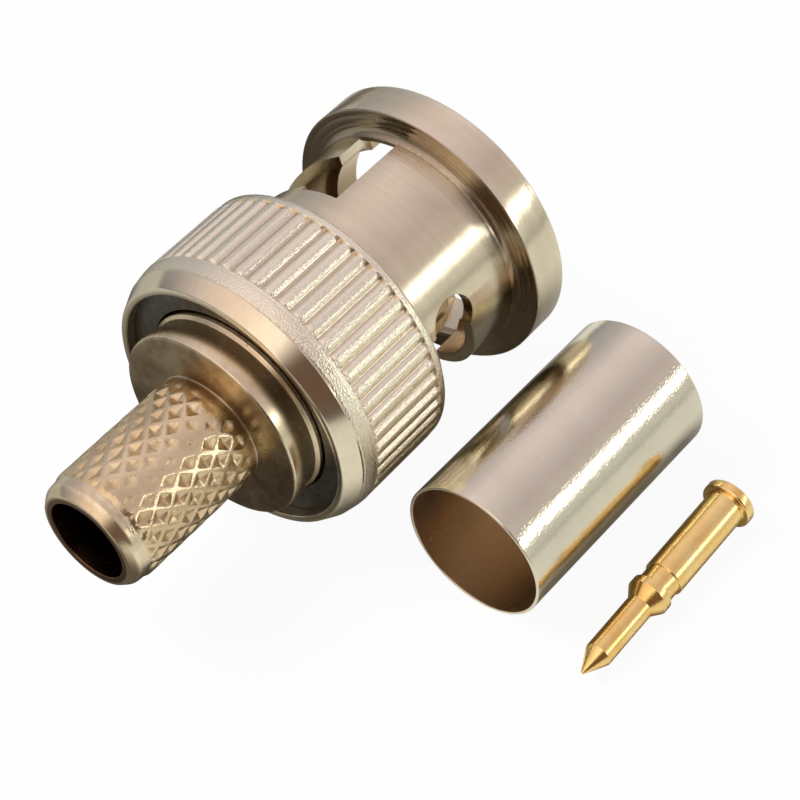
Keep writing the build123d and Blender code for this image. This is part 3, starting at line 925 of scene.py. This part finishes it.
def wavePiece():
    s = waveSettings
    swing = (s["height"] - s["thickness"]) / 2
    bm = bmesh.new()
    bm.verts.layers.float.new("edge")
    corners = ((s["inner"], 0), (s["outer"], 0), (s["outer"], s["thickness"]), (s["inner"], s["thickness"]))
    rings = []
    for step in range(s["steps"]):
        angle = fullTurn * step / s["steps"]
        x, y = math.cos(angle), math.sin(angle)
        base = s["rear"] + swing * (1 + math.cos(s["count"] * angle))
        rings.append([bm.verts.new((radius * x, radius * y, base + up)) for radius, up in corners])
    joinRings(bm, rings, True)
    return pieceFrom(bm, "waveWasher")


waveFinish = metalMaterial("springSteel", waveSettings["finish"], alongPlug)
wave = wavePiece()
finishPiece(wave, plugPlace, waveFinish, "plug", ["wave_washer"])
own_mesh(wave)
print("inner pieces made")

# crimp sleeve, a polished tube whose wall is thinned inside towards both mouths
sleeveSettings = {
    "segments": 288, "arcSteps": 6, "longRows": 0.8, "length": 12.6, "radius": 3.65, "bore": 3.31,
    "mouth": 3.5, "straight": 0.5, "thinned": 4.0, "yaw": -0.75,
    "thinRound": 2.0, "innerRound": 0.04, "outerRound": 0.06,
    "finish": {
        "lightTone": (0.78, 0.73, 0.58, 1), "deepTone": (0.73, 0.68, 0.54, 1), "ringDepth": 0.0006,
        "ringScale": 5.0, "streak": 0.1, "grainDepth": 0.009, "leastGrain": 0.009, "grainScale": 10.0,
        "roughness": 0.09, "roughCloud": 0.04,
        # a light painted shade with a pink tint inside the tube
        "innerRadius": 3.64, "boreShadeTone": (0.98, 0.86, 0.80, 1), "insideRough": 0.2,
    },
}
sleeveLow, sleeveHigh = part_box("crimp_sleeve")
sleeveTurn = Matrix.Rotation(math.radians(sleeveSettings["yaw"]), 4, "Z")
sleeveStart = (sleeveLow + sleeveHigh) / 2 - sleeveTurn @ Vector((sleeveSettings["length"] / 2 * mm, 0, 0))
sleevePlace, alongSleeve = layDown(sleeveStart, sleeveTurn)


def sleeveOutline():
    s = sleeveSettings
    return splitRuns(roundedOutline([
        (s["bore"], s["thinned"], s["thinRound"]), (s["mouth"], s["straight"]),
        (s["mouth"], 0, s["innerRound"]), (s["radius"], 0, s["outerRound"]),
        (s["radius"], s["length"], s["outerRound"]), (s["mouth"], s["length"], s["innerRound"]),
        (s["mouth"], s["length"] - s["straight"]), (s["bore"], s["length"] - s["thinned"], s["thinRound"]),
    ], s["arcSteps"]), [(0, s["length"], s["longRows"])])


sleeveFinish = metalMaterial("polishedNickel", sleeveSettings["finish"], alongSleeve)
sleeve = turnedPiece("crimpSleeve", sleeveOutline(), sleeveSettings["segments"])
finishPiece(sleeve, sleevePlace, sleeveFinish, "plug", ["crimp_sleeve"])
print("crimp sleeve:", len(sleeve.data.polygons), "faces")

# gold centre contact, resting on its bead and its end collar; stations count from its tip
contactSettings = {
    "segments": 144, "arcSteps": 5, "tipStation": -4.8, "aside": 18.5,
    "tipFlat": 0.08, "tipLength": 1.2, "pinRadius": 0.66, "coneStart": 4.4, "beadStart": 5.0,
    "beadEnd": 5.4, "beadRadius": 1.04, "neckStart": 5.44, "neckEnd": 6.25, "neckRadius": 0.88,
    "barrelRadius": 0.98, "collarStart": 11.25, "collarRest": 0.08, "collarRadius": 1.28,
    "length": 11.78, "wireBore": 0.55, "wireDepth": 4.6,
    "flatRound": 0.03, "tipRound": 0.12, "fineRound": 0.05, "beadRound": 0.06, "neckRound": 0.04,
    "footRound": 0.03, "collarRound": 0.1,
    "finish": {
        "lightTone": (1.0, 0.75, 0.29, 1), "deepTone": (0.95, 0.56, 0.14, 1), "cloudScale": 0.7,
        "wearAndSheenTone": (1.0, 0.84, 0.48, 1), "streakTone": (0.92, 0.78, 0.58, 1),
        "ringDepth": 0.003, "ringScale": 10.0,
        "grainDepth": 0.004, "roughness": 0.18,
    },
}


def contactPlacing():
    # it lies a little head down, because the collar is thicker than the bead
    s = contactSettings
    restLength = s["collarStart"] + s["collarRest"] - s["beadStart"]
    dip = math.atan((s["collarRadius"] - s["beadRadius"]) / restLength)
    lift = s["beadRadius"] * math.cos(dip) - s["beadStart"] * math.sin(dip)
    start = Vector((axisPoint.x + s["tipStation"] * mm, axisPoint.y - s["aside"] * mm, lift * mm))
    return layDown(start, Matrix.Rotation(-dip, 4, "Y"))


def contactOutline():
    s = contactSettings
    return roundedOutline([
        (0, 0),
        (s["tipFlat"], 0, s["flatRound"]),
        (s["pinRadius"], s["tipLength"], s["tipRound"]),
        (s["pinRadius"], s["coneStart"], s["fineRound"]),
        (s["beadRadius"], s["beadStart"], s["beadRound"]),
        (s["beadRadius"], s["beadEnd"], s["fineRound"]),
        (s["neckRadius"], s["neckStart"], s["neckRound"]),
        (s["neckRadius"], s["neckEnd"], s["footRound"]),
        (s["barrelRadius"], s["neckEnd"], s["fineRound"]),
        (s["barrelRadius"], s["collarStart"], s["fineRound"]),
        (s["collarRadius"], s["collarStart"], s["collarRound"]),
        (s["collarRadius"], s["length"], s["collarRound"]),
        (s["wireBore"], s["length"], s["fineRound"]),
        (s["wireBore"], s["length"] - s["wireDepth"]),
        (0, s["length"] - s["wireDepth"] - s["wireBore"]),
    ], s["arcSteps"])


contactPlace, alongContact = contactPlacing()
goldFinish = metalMaterial("platedGold", contactSettings["finish"], alongContact)
contact = turnedPiece("centerContact", contactOutline(), contactSettings["segments"])
finishPiece(contact, contactPlace, goldFinish, "plug", ["center_contact"], sharpAngle=34)
print("centre contact:", len(contact.data.polygons), "faces")

# pale floor; in the metal it is bright on the side of the loose pieces and shows a painted shadow behind the
# plug
floorSettings = {
    "size": 3.0, "drop": 0.02, "tone": (0.86, 0.86, 0.83, 1), "shadowTone": (0.13, 0.115, 0.10, 1),
    "whiteShare": 0.95, "behind": (-0.6, 0.8), "shadowFrom": 3.0, "shadowFull": 9.0,
    "greyFrom": 14.0, "greyFull": 28.0, "greyShare": 0.5,
}


def floorMaterial():
    s = floorSettings
    material = bpy.data.materials.new("paleFloor")
    material.use_nodes = True
    material.node_tree.nodes.clear()
    make = TreeMaker(material.node_tree)
    path = make.node("ShaderNodeLightPath").outputs
    where = make.node("ShaderNodeSeparateXYZ", i0=make.node("ShaderNodeTexCoord").outputs["Object"]).outputs
    sideways = make.times(where[0], s["behind"][0] / mm)
    behind = make.scaled(where[1], s["behind"][1] / mm, sideways)
    # painted shadow behind the plug, fading to half far away, seen only by glossy rays
    dark = make.spread(behind, s["shadowFrom"], s["shadowFull"], 0.0, 1.0, smooth=True)
    grey = make.spread(behind, s["greyFrom"], s["greyFull"], 1.0, s["greyShare"], smooth=True)
    dark = make.times(dark, grey, path["Is Glossy Ray"])
    plain = make.node("ShaderNodeBsdfDiffuse", Color=make.mix(dark, s["tone"], s["shadowTone"])).outputs[0]
    white = make.node("ShaderNodeEmission", Strength=1.0).outputs[0]
    share = make.times(path["Is Camera Ray"], s["whiteShare"])
    mixed = make.node("ShaderNodeMixShader", i0=share, i1=plain, i2=white).outputs[0]
    make.node("ShaderNodeOutputMaterial", Surface=mixed)
    return material


floorHalf, floorLevel = floorSettings["size"] / 2, -floorSettings["drop"] * mm
floorMesh = bpy.data.meshes.new("floor")
floorMesh.from_pydata([
    (-floorHalf, -floorHalf, floorLevel), (floorHalf, -floorHalf, floorLevel),
    (floorHalf, floorHalf, floorLevel), (-floorHalf, floorHalf, floorLevel),
], [], [(0, 1, 2, 3)])
floorMesh.materials.append(floorMaterial())
newPiece("floor", floorMesh)

# how bright the room looks in the metal, by the angle from the front horizon over the top to the back
roomSettings = {
    "ambient": 0.14, "ambientTone": (1, 0.98, 0.96, 1), "sideBlend": 0.12,
    "farSide": (
        (0, (0.60, 0.60, 0.56)), (180, (0.40, 0.41, 0.46)), (10, (0.75, 0.75, 0.72)),
        (20, (0.58, 0.56, 0.54)), (50, (0.66, 0.58, 0.60)), (62, (0.61, 0.53, 0.57)),
        (86, (0.73, 0.65, 0.70)), (104, (0.85, 0.75, 0.81)), (120, (0.87, 0.77, 0.83)),
        (134, (0.72, 0.64, 0.70)), (147, (0.57, 0.54, 0.57)), (168, (0.54, 0.56, 0.66)),
    ),
    "nearSide": (
        (0, (0.14, 0.10, 0.08)), (180, (0.20, 0.20, 0.23)), (22, (0.17, 0.10, 0.075)),
        (50, (0.15, 0.10, 0.08)), (58, (0.45, 0.38, 0.34)), (70, (1.35, 1.22, 1.15)),
        (88, (1.33, 1.15, 1.05)), (104, (1.15, 0.96, 0.87)), (118, (1.04, 0.85, 0.79)),
        (132, (0.88, 0.74, 0.69)), (147, (0.70, 0.62, 0.64)), (163, (0.56, 0.54, 0.58)),
    ),
}


def roomRamp(make, share, colors):
    # the ends come first, because a new ramp has its two ends already
    ramp = make.node("ShaderNodeValToRGB", i0=share)
    stops = ramp.color_ramp.elements
    for index, (degrees, color) in enumerate(colors):
        stop = stops[index] if index < 2 else stops.new(1.0)
        stop.position = degrees / 180
        stop.color = (*color, 1)
    return ramp.outputs[0]


def studioWorld():
    s = roomSettings
    world = bpy.data.worlds.new("softRoom")
    world.use_nodes = True
    world.node_tree.nodes.clear()
    make = TreeMaker(world.node_tree)
    path = make.node("ShaderNodeLightPath").outputs
    way = make.node("ShaderNodeSeparateXYZ", i0=make.node("ShaderNodeTexCoord").outputs["Generated"]).outputs
    height = make.math("ARCTAN2", way[2], make.times(way[1], -1.0))
    share = make.math("DIVIDE", height, math.pi)
    toFar = make.spread(way[0], -s["sideBlend"], s["sideBlend"], 0.0, 1.0, smooth=True)
    color = make.mix(toFar, roomRamp(make, share, s["nearSide"]), roomRamp(make, share, s["farSide"]))
    room = make.node("ShaderNodeBackground", Color=color, Strength=1.0).outputs[0]
    white = make.node("ShaderNodeBackground", Color=(1, 1, 1, 1), Strength=1.0).outputs[0]
    ambient = make.node("ShaderNodeBackground", Color=s["ambientTone"], Strength=s["ambient"]).outputs[0]
    inMetal = make.node("ShaderNodeMixShader", i0=path["Is Glossy Ray"], i1=ambient, i2=room).outputs[0]
    seen = make.node("ShaderNodeMixShader", i0=path["Is Camera Ray"], i1=inMetal, i2=white).outputs[0]
    make.node("ShaderNodeOutputWorld", Surface=seen)
    bpy.context.scene.world = world


studioWorld()

# each lamp: the way it lies from the plug's neck, how far, its size, and how bright its face is
lampSettings = {
    "aim": (2.0, -4.0, 11.0),
    "lamps": {
        "keyStrip": {
            "way": (0.42, -0.835, 0.355), "away": 0.15, "size": (0.11, 0.026), "bright": 3.0,
            "tone": (1, 0.99, 0.98), "inMetal": True,
        },
        "floorLamp": {
            "way": (-0.33, 0.52, 0.79), "away": 0.6, "size": (0.3, 0.3), "bright": 13.8,
            "tone": (1, 0.99, 0.98), "inMetal": False,
        },
    },
}
for lampName, lamp in lampSettings["lamps"].items():
    data = bpy.data.lights.new(lampName, "AREA")
    data.shape = "RECTANGLE"
    data.size, data.size_y = lamp["size"]
    data.energy = lamp["bright"] * math.pi * data.size * data.size_y
    data.color = lamp["tone"]
    holder = newPiece(lampName, data)
    holder.visible_glossy = lamp["inMetal"]
    way = Vector(lamp["way"]).normalized()
    place = Vector(lampSettings["aim"]) * mm + way * lamp["away"]
    holder.matrix_world = Matrix.Translation(place) @ way.to_track_quat("Z", "Y").to_matrix().to_4x4()

bpy.context.scene.view_settings.view_transform = "Standard"
print("studio made")
